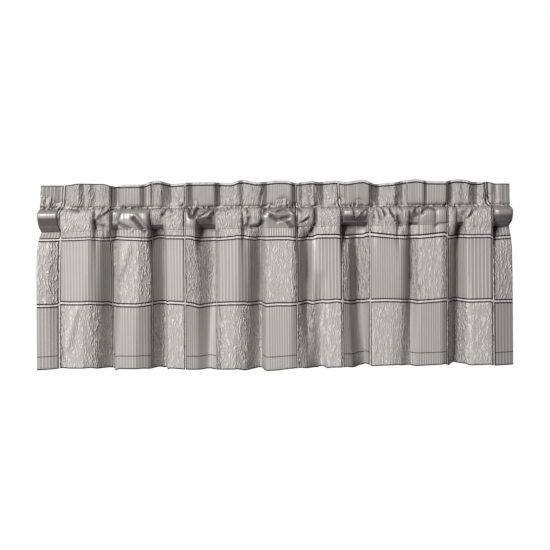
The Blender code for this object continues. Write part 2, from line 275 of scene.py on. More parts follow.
# The main creases, each along a path of points on the cloth's front, given as a place along the
# rod and a height, then its width and its lift, all in millimetres. A positive lift is a ridge
# and a negative one a trough.
Crease = namedtuple("Crease", "path width lift")
CREASES = (
    # left end, and the first puffs and ruffles
    Crease([(7, 50), (60, 28)], 4, -4), Crease([(65, 40), (72, 28)], 3, -6),
    Crease([(77, 25), (102, 19)], 2, -4), Crease([(62, 15), (75, 26)], 2.5, 3),
    Crease([(144, 2), (159, 22)], 2.5, 5), Crease([(140, 17), (142, -23)], 1.6, -3),
    Crease([(161, 12), (176, 27)], 2, 4), Crease([(166, 12), (181, 22)], 2, -4),
    Crease([(144, -8), (164, -20)], 4, -3), Crease([(199, 4), (206, 27)], 2.5, 3),
    Crease([(199, -11), (229, -25)], 2.5, -4), Crease([(204, -18), (234, -29)], 2, 2),
    Crease([(241, 1), (268, -31)], 3, -5), Crease([(243, 9), (273, -29)], 2.5, 3),
    Crease([(310, 8), (318, 23)], 2, -4), Crease([(320, 6), (340, 13)], 2, 2),
    Crease([(328, 23), (335, 16)], 2, -3), Crease([(338, 70), (348, 45)], 2, 1.5),
    Crease([(353, 24), (360, 33)], 1.5, -5),
    # the small pinched fold and the fan beside it
    Crease([(375, 23), (380, 5), (388, 3), (392, 18)], 2.5, -5),
    Crease([(390, 40), (395, 25)], 2.5, -6), Crease([(397, 10), (412, 24)], 1.6, 3.5),
    Crease([(405, 8), (422, 21)], 1.6, 3.5), Crease([(402, 4), (427, 22)], 1.5, -4),
    Crease([(420, 5), (432, 18)], 1.6, 3), Crease([(430, 2), (452, 30)], 3, -4),
    Crease([(435, 5), (450, 22)], 3, 3), Crease([(445, 18), (464, 18), (502, 29)], 1.8, -2.5),
    Crease([(445, 13), (466, 14), (497, 25)], 2, 2), Crease([(464, 44), (460, 30)], 2, 2),
    Crease([(517, 24), (522, 12)], 2, -4), Crease([(524, -1), (519, -20)], 2.4, -3.6),
    Crease([(529, -23), (546, -21), (556, -9)], 2.5, -5), Crease([(556, 63), (549, 31)], 2, -3),
    # the middle puff
    Crease([(559, 14), (566, 26), (579, 30)], 3, -4),
    Crease([(571, 17), (589, 9), (621, 8)], 1.8, 4),
    Crease([(579, 4), (594, -6), (619, 1)], 2.6, -4), Crease([(586, 25), (601, 31)], 1.5, 3),
    Crease([(589, 17), (614, 28)], 1.5, 3.5), Crease([(594, 16), (611, 21), (619, 18)], 2, -3),
    Crease([(599, 36), (609, 43), (621, 36)], 3.5, -4),
    Crease([(599, -9), (611, -12), (621, -22)], 2, 2.5),
    Crease([(621, -12), (633, -22)], 2.5, -3), Crease([(619, 23), (633, 6)], 1.6, 4),
    Crease([(626, 28), (641, 30)], 3, -5), Crease([(628, 18), (636, 11)], 2, -3),
    Crease([(648, -2), (653, -8), (668, 3)], 1.6, 4), Crease([(653, -12), (668, -2)], 2, -3),
    Crease([(643, 23), (653, 16)], 2.5, -4),
    Crease([(688, 25), (688, -12), (678, -34)], 2.5, -5),
    Crease([(678, -34), (668, -49)], 2.5, -4), Crease([(681, 77), (693, 30)], 2.5, -3),
    Crease([(673, 23), (691, 38)], 2, 3), Crease([(743, 30), (753, 44)], 2.5, -5),
    # the puffs to the right of the middle
    Crease([(775, 25), (778, 5), (785, -4), (792, 2), (797, 12), (815, 23)], 1.5, 4),
    Crease([(782, 20), (787, 7)], 2, -2), Crease([(790, 24), (800, 34), (817, 29)], 1.5, 3),
    Crease([(792, 37), (800, 40), (807, 34)], 2.5, -3), Crease([(782, 30), (795, 29)], 1.5, -3),
    Crease([(812, 12), (830, 2)], 2, 3), Crease([(842, 17), (850, -6)], 2.5, -3),
    Crease([(850, 29), (859, 6)], 1.8, -5), Crease([(872, 21), (874, 11), (882, -1)], 1.8, -5),
    Crease([(864, 26), (869, 6), (879, -6)], 2, 3),
    Crease([(837, 32), (852, 16), (854, 4)], 1.8, 3), Crease([(877, 49), (889, 24)], 1.8, 3),
    Crease([(892, 46), (897, 26)], 2, -3), Crease([(897, 26), (902, 16)], 1.5, -3),
    Crease([(892, -1), (899, -19)], 3, -4), Crease([(924, -16), (929, 1), (939, 6)], 3.5, -5),
    Crease([(922, 21), (927, 11)], 2, 3), Crease([(934, 13), (939, 23), (951, 26)], 1.6, -4),
    Crease([(944, 11), (949, 21), (956, 27)], 1.4, 3),
    Crease([(951, 8), (956, 18), (969, 23), (984, 17)], 1.8, -4),
    Crease([(984, -25), (991, -18), (1013, -16)], 1.5, -2.5),
    # the right end
    Crease([(1013, 28), (1018, 23)], 2, -4), Crease([(1023, 18), (1031, 28)], 1.5, 3),
    Crease([(1033, 25), (1041, 20)], 1.5, -3), Crease([(1048, -3), (1046, -40)], 3.4, -3.6),
    Crease([(1058, -3), (1071, 20)], 1.6, 4), Crease([(1053, 5), (1066, 20)], 1.6, -3),
    Crease([(1068, 2), (1088, 20)], 2, -2.5), Crease([(1100, 34), (1108, 24)], 1.6, 4),
    Crease([(1110, 32), (1125, 17)], 1.6, 3), Crease([(1105, 37), (1115, 32)], 2.5, -5),
    Crease([(1118, 46), (1128, 49)], 2, -4),
    # long soft creases in the skirt
    Crease([(224, -73), (204, -140)], 5, 2.5), Crease([(97, -228), (75, -313)], 5, 2.5),
)
MM_PER_METRE = 1000
CREASE_LIFT = 1.9
CREASE_SPREAD = 1.75

# The cloth's edge sags between its folds, more and more from this far below the pocket
SAG_BELOW = 0.19
SAG_POWER = 1.5


def creased(place, height):
    """How far the creases push the front of the cloth forward."""
    pushed = np.zeros(np.broadcast(place, height).shape)
    for crease in CREASES:
        nearest = np.full(pushed.shape, np.inf)
        path = [(along / MM_PER_METRE, up / MM_PER_METRE) for along, up in crease.path]
        for (start, low), (end, high) in zip(path, path[1:]):
            along, up = end - start, high - low
            share = ((place - start) * along + (height - low) * up) / (along**2 + up**2)
            share = np.clip(share, 0, 1)
            apart = (place - start - share * along) ** 2 + (height - low - share * up) ** 2
            nearest = np.minimum(nearest, apart)
        width = CREASE_SPREAD * crease.width / MM_PER_METRE
        pushed += CREASE_LIFT * crease.lift / MM_PER_METRE * np.exp(-nearest / width**2)
    return pushed


def skirt_shape(place, below):
    """Points of the skirt's front, at distances below the pocket's stitch line."""
    drop = POCKET_STITCH - HEM_EDGE
    toward_hem = np.clip((below - MIDDLE_BELOW) / (drop - MIDDLE_BELOW), 0, 1)
    full = read(MIDDLE_RUN, place) * (1 - toward_hem) + read(HEM_RUN, place) * toward_hem
    share = from_table(SKIRT_FULLNESS, below)
    out = read(SEAM_RUN, place) * (1 - share) + full * share
    rise = from_table(STITCH_LEVELS, place) * np.clip(1 - below / LEVEL_REACH, 0, 1)
    below_lines = np.clip((below - SAG_BELOW) / (drop - SAG_BELOW), 0, 1)
    sag = from_table(SLIPS, place, 3) * below_lines**SAG_POWER
    height = POCKET_STITCH + rise - below - sag
    out = out + creased(place, height)
    return np.stack([place - HUNG_WIDTH / 2, -out, height], axis=-1)


def unit(vectors):
    """The vectors of a grid, each scaled to a length of 1."""
    return vectors / np.maximum(np.linalg.norm(vectors, axis=-1, keepdims=True), 1e-9)


def to_back(points, distance):
    """A face of the cloth moved to its back, by distances square to the face."""
    down = unit(np.gradient(points, axis=0))
    across = unit(np.gradient(points, axis=1))
    across = np.where(across[..., :1] < 0, -across, across)
    forward = unit(np.cross(down, across))
    return points - forward * distance[..., None]


# The check: twelve pale lines between dark ones run down the cloth, 165 mm apart, and others run
# across it 161 mm apart. The places are where the lines lie along the rod once it is gathered.
BLOCK_WIDTH = 0.165
BLOCK_HEIGHT = 0.161
LINE_PLACES = (
    0.052, 0.176, 0.281, 0.365, 0.440, 0.554, 0.641, 0.753, 0.822, 0.921, 1.013, 1.125,
)
LEFT_PART_BLOCK = 0.055
RIGHT_PART_BLOCK = 0.050
FIRST_LINE_BELOW = 0.024

# The lines slip less and less over this height above the hem's stitches
HEM_FADE = 0.08


def flat_across(place):
    """How far along the flat cloth each place is, from the first line down it."""
    steps = np.hypot(np.diff(LATTICE), np.diff(MIDDLE_RUN))
    walked = np.concatenate([[0], np.cumsum(steps)])
    knots = [0, *LINE_PLACES, HUNG_WIDTH]
    lines = [-LEFT_PART_BLOCK, *(BLOCK_WIDTH * line for line in range(12))]
    lines.append(lines[-1] + RIGHT_PART_BLOCK)
    return np.interp(read(walked, place), np.interp(knots, LATTICE, walked), lines)


def slipped(place, below):
    """How much lower the lines of the check lie on the skirt, at distances below the stitches."""
    first, second = from_table(SLIPS, place), from_table(SLIPS, place, 2)
    slip = first + (second - first) * np.clip((below - FIRST_LINE_BELOW) / BLOCK_HEIGHT, 0, 1)
    return slip * np.clip((POCKET_STITCH - HEM_EDGE - HEM_HEIGHT - below) / HEM_FADE, 0, 1)


def even_columns(count, run):
    """Places along the rod, closer together where the cloth folds."""
    walked = np.concatenate([[0], np.cumsum(np.hypot(np.diff(LATTICE), np.diff(run)))])
    return np.interp(np.linspace(0, walked[-1], count), walked, LATTICE)


# A crease this deep is in full painted shade, and cloth on a slope this steep is fully crinkled
FULL_SHADE_DEPTH = 0.008
FULL_SLACK_SLOPE = 0.7


def shaded(place, height):
    """How much painted shade the cloth gets where its creases sink in, from 0 to 1."""
    return np.clip(-creased(place, height) / FULL_SHADE_DEPTH, 0, 1)


def slack_at(place):
    """How deep the crinkles are: shallow where the cloth faces the room, deep where it turns."""
    turned = np.abs(np.gradient(MIDDLE_RUN, LATTICE_STEP)) / FULL_SLACK_SLOPE
    return read(np.clip(turned, 0, 1), place)


def cloth_sheet(name, points, flat, slack, painted_shades, thickness):
    """A grid that is shaped to the points, with its flat place as UV, its crinkle depth and
    painted shade as attributes, and given a thickness.
    """
    rows, columns = points.shape[:2]
    bpy.ops.mesh.primitive_grid_add(
        x_subdivisions=columns - 1, y_subdivisions=rows - 1, size=2, calc_uvs=True
    )
    sheet = bpy.context.object
    sheet.name = sheet.data.name = name
    count = len(sheet.data.vertices)
    places = np.empty(count * 3)
    sheet.data.vertices.foreach_get("co", places)
    places = places.reshape(-1, 3)
    column = np.rint((places[:, 0] + 1) / 2 * (columns - 1)).astype(int)
    row = np.rint((1 - places[:, 1]) / 2 * (rows - 1)).astype(int)
    sheet.data.vertices.foreach_set("co", points[row, column].ravel())
    corners = np.empty(len(sheet.data.loops), dtype=np.int32)
    sheet.data.loops.foreach_get("vertex_index", corners)
    sheet.data.uv_layers[0].name = "flat_cloth"
    sheet.data.uv_layers[0].data.foreach_set("uv", flat[row, column][corners].ravel())
    for label, values in (("slack", slack), ("painted_shade", painted_shades)):
        attribute = sheet.data.attributes.new(label, "FLOAT", "POINT")
        attribute.data.foreach_set("value", np.broadcast_to(values, (rows, columns))[row, column])
    sheet.data.update()
    sheet.data.shade_smooth()
    solidify = sheet.modifiers.new("Thickness", "SOLIDIFY")
    solidify.thickness = thickness
    solidify.offset = -1
    solidify.material_offset = 1
    bpy.ops.object.modifier_apply(modifier=solidify.name)
    return sheet


# The cloth, the step back to the second layer of a hem, and the bulk of a corner, where the
# bottom hem lies over the side hem
CLOTH_THICKNESS = 0.0006
LAYER_STEP = 0.0013
HEM_BULK = 0.0040
CORNER_END, CORNER_FADE = 0.035, 0.01
TURN_STEPS = (0.25, 0.75)

# Rows run from the stitch line down the front to the hem edge, and up the back of the hem. Each
# has its distance below the stitch line and how far it has turned to the back.
front_drops = [0.0, 0.0015, 0.003, 0.005, 0.0075, 0.0105, 0.014, 0.018, 0.0225, 0.0275, 0.033]
front_drops += list(np.arange(0.040, POCKET_STITCH - HEM_EDGE - 0.002, 0.0078))
full_drop = POCKET_STITCH - HEM_EDGE
skirt_rows = [(drop, 0.0) for drop in front_drops] + [(full_drop - 0.0008, 0.0)]
skirt_rows += [(full_drop, turned) for turned in TURN_STEPS]
skirt_rows += [(full_drop - 0.0008, 1.0), (full_drop - HEM_HEIGHT / 2, 1.0)]
skirt_rows += [(full_drop - HEM_HEIGHT, 1.0)]

# Columns run the same way round each side hem
SKIRT_COLUMNS = 600
front_places = even_columns(SKIRT_COLUMNS, MIDDLE_RUN)
left_back = [(place, 1.0) for place in (SIDE_HEM, 0.017, 0.009, 0.0008)]
right_back = [(HUNG_WIDTH - place, turned) for place, turned in reversed(left_back)]
left_turn = [(0.0, 1 - turned) for turned in TURN_STEPS]
right_turn = [(HUNG_WIDTH, turned) for turned in TURN_STEPS]
skirt_columns = left_back + left_turn + [(place, 0.0) for place in front_places[1:-1]]
skirt_columns += right_turn + right_back

below = np.array([drop for drop, _ in skirt_rows])[:, None]
place = np.array([along for along, _ in skirt_columns])[None, :]
turned_up = np.array([turned for _, turned in skirt_rows])[:, None]
turned_in = np.array([turned for _, turned in skirt_columns])[None, :]
place, below = place + 0 * below, below + 0 * place
from_side = np.minimum(place, HUNG_WIDTH - place)
in_corner = np.clip((CORNER_END - from_side) / CORNER_FADE, 0, 1)
hem_gap = LAYER_STEP + (HEM_BULK - LAYER_STEP) * in_corner
side_gap = LAYER_STEP * turned_in
gap = side_gap * (1 - turned_up) + (hem_gap - side_gap) * turned_up

front_only = skirt_shape(place, below)
across = unit(np.gradient(front_only, axis=1))
backward = np.stack([-across[..., 1], across[..., 0], 0 * across[..., 0]], axis=-1)
backward = np.where(backward[..., 1:2] < 0, -backward, backward)
skirt_points = front_only + unit(backward) * gap[..., None]
flat_down = FIRST_LINE_BELOW - below + slipped(place, below)
skirt_flat = np.stack([flat_across(place), flat_down], axis=-1)
# Painted shade on the skirt, where its creases sink in
skirt_painted_shade = shaded(place, skirt_points[..., 2])
skirt = cloth_sheet(
    "skirt", skirt_points, skirt_flat, slack_at(place), skirt_painted_shade, CLOTH_THICKNESS
)


# The satin's own finish. Blocks of fine ribs and blocks of crinkled cloth alternate.
def calc(tree, operation, *values):
    """A Math node with its inputs linked or set, and its result."""
    node = tree.nodes.new("ShaderNodeMath")
    node.operation = operation
    for socket, value in zip(node.inputs, values):
        if isinstance(value, bpy.types.NodeSocket):
            tree.links.new(value, socket)
        else:
            socket.default_value = value
    return node.outputs[0]


def soft_step(tree, value, start, end):
    """1 below start, falling smoothly to 0 at end."""
    node = tree.nodes.new("ShaderNodeMapRange")
    node.interpolation_type = "SMOOTHSTEP"
    tree.links.new(value, node.inputs["Value"])
    node.inputs["From Min"].default_value = start
    node.inputs["From Max"].default_value = end
    node.inputs["To Min"].default_value = 1
    node.inputs["To Max"].default_value = 0
    return node.outputs["Result"]


def new_group(name, inputs, outputs):
    """An empty node group with its sockets, and its input and output nodes."""
    group = bpy.data.node_groups.new(name, "ShaderNodeTree")
    for label, kind, value in inputs:
        socket = group.interface.new_socket(label, in_out="INPUT", socket_type=kind)
        if value is not None:
            socket.default_value = value
    for label, kind in outputs:
        group.interface.new_socket(label, in_out="OUTPUT", socket_type=kind)
    return group, group.nodes.new("NodeGroupInput"), group.nodes.new("NodeGroupOutput")


def flat_place(tree, source):
    """The two coordinates of the flat cloth."""
    split = tree.nodes.new("ShaderNodeSeparateXYZ")
    tree.links.new(source, split.inputs[0])
    return split.outputs["X"], split.outputs["Y"]


FLOAT, VECTOR = "NodeSocketFloat", "NodeSocketVector"

# Where the blocks and their lines are. The lines down the cloth are the narrower ones.
DOWN_LINES = 1.3
check, check_in, check_out = new_group(
    "Check blocks",
    [("Flat Cloth", VECTOR, None), ("Pale Line", FLOAT, 0.0042), ("Dark Line", FLOAT, 0.0034)],
    [("Ribbed", FLOAT), ("Pale", FLOAT), ("Dark", FLOAT)],
)
along, up = flat_place(check, check_in.outputs["Flat Cloth"])
to_line = calc(
    check,
    "MINIMUM",
    calc(check, "MULTIPLY", calc(check, "PINGPONG", along, BLOCK_WIDTH / 2), DOWN_LINES),
    calc(check, "PINGPONG", up, BLOCK_HEIGHT / 2),
)
pale_half = calc(check, "MULTIPLY", check_in.outputs["Pale Line"], 0.5)
dark_end = calc(check, "ADD", pale_half, check_in.outputs["Dark Line"])
EDGE_BLUR = 0.0004
in_pale = calc(check, "SUBTRACT", pale_half, to_line)
in_line = calc(check, "SUBTRACT", dark_end, to_line)
pale_mask = calc(check, "SUBTRACT", 1, soft_step(check, in_pale, -EDGE_BLUR, EDGE_BLUR))
line_mask = calc(check, "SUBTRACT", 1, soft_step(check, in_line, -EDGE_BLUR, EDGE_BLUR))
block_sum = calc(
    check,
    "ADD",
    calc(check, "FLOOR", calc(check, "DIVIDE", along, BLOCK_WIDTH)),
    calc(check, "FLOOR", calc(check, "DIVIDE", up, BLOCK_HEIGHT)),
)
check.links.new(calc(check, "FLOORED_MODULO", block_sum, 2), check_out.inputs["Ribbed"])
check.links.new(pale_mask, check_out.inputs["Pale"])
check.links.new(calc(check, "SUBTRACT", line_mask, pale_mask), check_out.inputs["Dark"])

# Fine ribs down the cloth, 20 to a block. Their Shade, the same as their height, is a painted
# highlight along each rib
ribs, ribs_in, ribs_out = new_group(
    "Fine ribs",
    [("Flat Cloth", VECTOR, None), ("Spacing", FLOAT, BLOCK_WIDTH / 20)],
    [("Height", FLOAT), ("Shade", FLOAT)],
)
along, up = flat_place(ribs, ribs_in.outputs["Flat Cloth"])
half_spacing = calc(ribs, "MULTIPLY", ribs_in.outputs["Spacing"], 0.5)
from_rib = calc(ribs, "DIVIDE", calc(ribs, "PINGPONG", along, half_spacing), half_spacing)
rib = soft_step(ribs, from_rib, 0.05, 0.65)
ribs.links.new(rib, ribs_out.inputs["Height"])
ribs.links.new(rib, ribs_out.inputs["Shade"])

# Crinkles, which run unevenly down the cloth and come and go. Their Shade, the same as their
# height, is painted shade in the hollows and painted highlight on the ridges
crinkle, crinkle_in, crinkle_out = new_group(
    "Crinkle",
    [("Flat Cloth", VECTOR, None), ("Spacing", FLOAT, 0.0074), ("Waver", FLOAT, 2.6)],
    [("Height", FLOAT), ("Shade", FLOAT)],
)


def crinkle_noise(width, length, detail):
    """Noise over the flat cloth, in patches of this width and length."""
    stretch = crinkle.nodes.new("ShaderNodeVectorMath")
    stretch.operation = "MULTIPLY"
    stretch.inputs[1].default_value = (1 / width, 1 / length, 1)
    crinkle.links.new(crinkle_in.outputs["Flat Cloth"], stretch.inputs[0])
    noise = crinkle.nodes.new("ShaderNodeTexNoise")
    noise.noise_dimensions = "2D"
    noise.inputs["Scale"].default_value = 1
    noise.inputs["Detail"].default_value = detail
    crinkle.links.new(stretch.outputs[0], noise.inputs["Vector"])
    return noise.outputs["Fac"]


along, up = flat_place(crinkle, crinkle_in.outputs["Flat Cloth"])
waver = calc(crinkle, "MULTIPLY", crinkle_noise(0.013, 0.017, 2.5), crinkle_in.outputs["Waver"])
phase = calc(
    crinkle, "ADD", calc(crinkle, "DIVIDE", along, crinkle_in.outputs["Spacing"]), waver
)
ridge = calc(crinkle, "MULTIPLY", calc(crinkle, "PINGPONG", phase, 0.5), 2)
LEAST_CRINKLE = 0.15
smooth = soft_step(crinkle, crinkle_noise(0.010, 0.022, 1), 0.36, 0.60)
strength = calc(crinkle, "SUBTRACT", 1, smooth)
height = calc(crinkle, "MULTIPLY", ridge, calc(crinkle, "ADD", strength, LEAST_CRINKLE))
crinkle.links.new(height, crinkle_out.inputs["Height"])
crinkle.links.new(height, crinkle_out.inputs["Shade"])

# The row of stitches above the hem, and a painted shadow along its edge
HEM_LEVEL = FIRST_LINE_BELOW - full_drop
MARK_BLUR = 0.0006
hem_marks, marks_in, marks_out = new_group(
    "Hem marks",
    [
        ("Flat Cloth", VECTOR, None),
        ("Stitch Level", FLOAT, HEM_LEVEL + HEM_HEIGHT),
        ("Edge Level", FLOAT, HEM_LEVEL),
        ("Width", FLOAT, 0.0024),
    ],
    [("Stitches", FLOAT), ("Edge Shadow", FLOAT)],
)
along, up = flat_place(hem_marks, marks_in.outputs["Flat Cloth"])
for level, label, share in (("Stitch Level", "Stitches", 0.5), ("Edge Level", "Edge Shadow", 1.1)):
    half_width = calc(hem_marks, "MULTIPLY", marks_in.outputs["Width"], share)
    apart = calc(
        hem_marks, "ABSOLUTE", calc(hem_marks, "SUBTRACT", up, marks_in.outputs[level])
    )
    outside = calc(hem_marks, "SUBTRACT", apart, half_width)
    mark = soft_step(hem_marks, outside, -MARK_BLUR, MARK_BLUR)
    hem_marks.links.new(mark, marks_out.inputs[label])


def placed(tree, group, **values):
    """A node group placed in a material, with its own values."""
    node = tree.nodes.new("ShaderNodeGroup")
    node.node_tree = group
    for label, value in values.items():
        node.inputs[label.replace("_", " ")].default_value = value
    return node


def blend(tree, share, first, second):
    """A mix of two colours or numbers by a share that changes over the cloth."""
    node = tree.nodes.new("ShaderNodeMix")
    is_colour = hasattr(first, "__len__") or getattr(first, "type", "") == "RGBA"
    node.data_type = "RGBA" if is_colour else "FLOAT"
    factor, a, b = (0, 6, 7) if is_colour else (0, 2, 3)
    for index, value in ((factor, share), (a, first), (b, second)):
        if isinstance(value, bpy.types.NodeSocket):
            tree.links.new(value, node.inputs[index])
        elif hasattr(value, "__len__"):
            node.inputs[index].default_value = (*value, 1)
        else:
            node.inputs[index].default_value = value
    return node.outputs[2 if is_colour else 0]


# Colours of the cloth between the ribs and of the painted highlight on them, of the crinkle's
# hollows in painted shade and its ridges in painted highlight, of the cloth drawn tight in the
# pocket, of the lines of the check, and of the painted shade in the cloth's closed places. Then
# how strongly that painted shade, and the hem's stitches and painted edge shadow, are laid on
RIBBED_COLOUR = (0.36, 0.341, 0.324)
RIB_HIGHLIGHT_COLOUR = (0.53, 0.504, 0.478)
CRINKLE_HOLLOW_SHADE = (0.41, 0.388, 0.370)
CRINKLE_RIDGE_HIGHLIGHT = (0.60, 0.573, 0.548)
DRAWN_COLOUR = (0.36, 0.342, 0.325)
PALE_LINE = (0.66, 0.635, 0.61)
DARK_LINE = (0.007, 0.006, 0.005)
PAINTED_SHADE_COLOUR = (0.030, 0.026, 0.023)
PAINTED_SHADE_STRENGTH = 0.80
MARK_SHADE = 0.75

# Metallic share and roughness of the crinkled, the ribbed and the drawn cloth
CRINKLE_SHEEN, RIB_SHEEN, DRAWN_SHEEN = 0.15, 0.22, 0.45
CRINKLE_ROUGH, RIB_ROUGH, DRAWN_ROUGH = 0.68, 0.54, 0.48
WRINKLE_DEPTHS = (0.0007, 0.0032)
RIB_RELIEF = 0.0004

# The cloth is drawn smooth over the rod, from this middle on the flat cloth out to these distances
# on both sides. One loose pouch in it, round its own middle, is drawn less smooth.
POCKET_MIDDLE = 0.064
POCKET_ENDS = (0.036, 0.041)
POUCH_MIDDLE = 1.571
POUCH_ENDS = (0.09, 0.10)
DRAWN_SHARE, POUCH_SHARE = 0.8, 0.6


def satin(name, sheen_share):
    """The satin: metallic-looking ribs, softer crinkle, the lines of the check, and painted shade
    and highlights.
    """
    material = bpy.data.materials.new(name)
    material.use_nodes = True
    tree = material.node_tree
    shader = tree.nodes["Principled BSDF"]
    uv = tree.nodes.new("ShaderNodeUVMap")
    uv.uv_map = "flat_cloth"
    groups = (check, ribs, crinkle, hem_marks)
    blocks, rib_node, wrinkles, marks = (placed(tree, group) for group in groups)
    for node in (blocks, rib_node, wrinkles, marks):
        tree.links.new(uv.outputs["UV"], node.inputs["Flat Cloth"])
    ribbed = blocks.outputs["Ribbed"]
    along, up = flat_place(tree, uv.outputs["UV"])
    from_pocket = calc(tree, "ABSOLUTE", calc(tree, "SUBTRACT", up, POCKET_MIDDLE))
    from_pouch = calc(tree, "ABSOLUTE", calc(tree, "SUBTRACT", along, POUCH_MIDDLE))
    in_pouch = soft_step(tree, from_pouch, *POUCH_ENDS)
    loose = calc(tree, "MULTIPLY", in_pouch, POUCH_SHARE)
    in_pocket = soft_step(tree, from_pocket, *POCKET_ENDS)
    drawn = calc(tree, "MULTIPLY", in_pocket, calc(tree, "SUBTRACT", DRAWN_SHARE, loose))
    rib_share = calc(tree, "SUBTRACT", 1, drawn)
    drawn_satin = calc(tree, "MULTIPLY", drawn, ribbed)
    rib_shade = calc(tree, "MULTIPLY", rib_node.outputs["Shade"], rib_share)
    # Painted highlight on the ribs, and painted shade and highlight on the crinkle, follow their
    # relief
    rib_tone = blend(tree, rib_shade, RIBBED_COLOUR, RIB_HIGHLIGHT_COLOUR)
    rib_tone = blend(tree, drawn, rib_tone, DRAWN_COLOUR)
    crinkle_tone = blend(tree, wrinkles.outputs["Shade"], CRINKLE_HOLLOW_SHADE, CRINKLE_RIDGE_HIGHLIGHT)
    tone = blend(tree, ribbed, crinkle_tone, rib_tone)
    stitched = calc(tree, "MULTIPLY", marks.outputs["Stitches"], ribbed)
    # The hem's stitches, and the painted shadow along its edge, darken the cloth
    stitches_and_edge_shadow = calc(tree, "MAXIMUM", stitched, marks.outputs["Edge Shadow"])
    tone = blend(tree, calc(tree, "MULTIPLY", stitches_and_edge_shadow, MARK_SHADE), tone, DARK_LINE)
    tone = blend(tree, blocks.outputs["Pale"], tone, PALE_LINE)
    tone = blend(tree, blocks.outputs["Dark"], tone, DARK_LINE)
    lines = calc(tree, "ADD", blocks.outputs["Pale"], blocks.outputs["Dark"])
    cloth = calc(tree, "SUBTRACT", 1, lines)
    # Painted shade from the cloth's attribute: in crease troughs, between puffs, in recesses,
    # under the tubes, over the header and along its stitches
    painted_shade = tree.nodes.new("ShaderNodeAttribute")
    painted_shade.attribute_name = "painted_shade"
    in_shade = calc(tree, "MULTIPLY", painted_shade.outputs["Fac"], PAINTED_SHADE_STRENGTH)
    tone = blend(tree, in_shade, tone, PAINTED_SHADE_COLOUR)
    sheen = blend(tree, ribbed, CRINKLE_SHEEN, RIB_SHEEN)
    sheen = blend(tree, drawn_satin, sheen, DRAWN_SHEEN)
    tree.links.new(tone, shader.inputs["Base Color"])
    tree.links.new(
        calc(tree, "MULTIPLY", calc(tree, "MULTIPLY", cloth, sheen), sheen_share),
        shader.inputs["Metallic"],
    )
    rough = blend(tree, ribbed, CRINKLE_ROUGH, RIB_ROUGH)
    rough = blend(tree, drawn_satin, rough, DRAWN_ROUGH)
    tree.links.new(rough, shader.inputs["Roughness"])
    slack = tree.nodes.new("ShaderNodeAttribute")
    slack.attribute_name = "slack"
    wrinkle_depth = blend(tree, slack.outputs["Fac"], *WRINKLE_DEPTHS)
    wrinkle_relief = calc(tree, "MULTIPLY", wrinkles.outputs["Height"], wrinkle_depth)
    rib_height = calc(tree, "MULTIPLY", rib_node.outputs["Height"], rib_share)
    rib_relief = calc(tree, "MULTIPLY", rib_height, RIB_RELIEF)
    relief = blend(tree, ribbed, wrinkle_relief, rib_relief)
    bump = tree.nodes.new("ShaderNodeBump")
    bump.inputs["Strength"].default_value = 1
    bump.inputs["Distance"].default_value = 1
    tree.links.new(relief, bump.inputs["Height"])
    tree.links.new(bump.outputs["Normal"], shader.inputs["Normal"])
    return material


right_side = satin("pewter check satin, right side", 1.0)
wrong_side = satin("pewter check satin, wrong side", 0.4)
skirt.data.materials.append(right_side)
skirt.data.materials.append(wrong_side)

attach(skirt, "root")
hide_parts("skirt_cloth")


# ---- Heading -------------------------------------------------------------------------------
# The heading is the same cloth above the skirt. It runs up the front of the rod pocket and of
# the ruffle, over the top edge and down the back, and two lines of stitching make the pocket.

HEADER_STITCH = 0.026
HEADER_HEIGHT = 0.057
POCKET_HEIGHT = HEADER_STITCH - POCKET_STITCH

# The pocket's back stands this far behind the rod's axis, and up to this much further where the
# folds lie back
BACK_ROOM = 0.024
BACK_SWELL = 0.006
POCKET_ROUNDNESS = 3.0

# The header's ruffles. The cloth rises from its foot, at the depth of its floor, to its face, and
# crosses the face from the depth of its start to the depth of its crest at the brow.
Ruffle = namedtuple("Ruffle", "foot face brow floor start crest")
RUFFLES = (
    Ruffle(0.000, 0.006, 0.045, floor=0.015, start=0.015, crest=0.008),
    Ruffle(0.055, 0.060, 0.102, floor=0.003, start=0.010, crest=0.016),
    Ruffle(0.114, 0.117, 0.124, floor=0.004, start=0.008, crest=0.010),
    Ruffle(0.142, 0.147, 0.176, floor=0.000, start=0.006, crest=0.010),
    Ruffle(0.193, 0.201, 0.253, floor=-0.015, start=0.010, crest=0.017),
    Ruffle(0.266, 0.268, 0.278, floor=0.004, start=0.006, crest=0.008),
    Ruffle(0.283, 0.286, 0.303, floor=0.002, start=0.006, crest=0.013),
    Ruffle(0.330, 0.336, 0.368, floor=-0.015, start=-0.002, crest=0.010),
    Ruffle(0.384, 0.390, 0.437, floor=-0.008, start=0.004, crest=0.014),
    Ruffle(0.452, 0.457, 0.497, floor=-0.010, start=0.004, crest=0.014),
    Ruffle(0.509, 0.524, 0.552, floor=0.004, start=0.010, crest=0.014),
    Ruffle(0.570, 0.575, 0.628, floor=-0.004, start=0.006, crest=0.018),
    Ruffle(0.641, 0.643, 0.648, floor=0.002, start=0.004, crest=0.006),
    Ruffle(0.656, 0.658, 0.684, floor=-0.002, start=0.002, crest=0.012),
    Ruffle(0.712, 0.719, 0.763, floor=-0.015, start=-0.002, crest=0.010),
    Ruffle(0.766, 0.770, 0.820, floor=0.006, start=0.011, crest=0.019),
    Ruffle(0.850, 0.857, 0.886, floor=-0.015, start=-0.002, crest=0.012),
    Ruffle(0.910, 0.915, 0.956, floor=-0.009, start=0.006, crest=0.018),
    Ruffle(0.964, 0.966, 1.013, floor=0.006, start=0.008, crest=0.018),
    Ruffle(1.028, 1.041, 1.068, floor=-0.008, start=0.006, crest=0.014),
    Ruffle(1.098, 1.103, 1.118, floor=-0.013, start=0.005, crest=0.000),
    Ruffle(1.122, 1.125, 1.135, floor=-0.003, start=0.004, crest=-0.001),
    Ruffle(1.140, 1.146, 1.170, floor=-0.004, start=0.003, crest=0.002),
)
RUFFLE_BEND = 0.0020

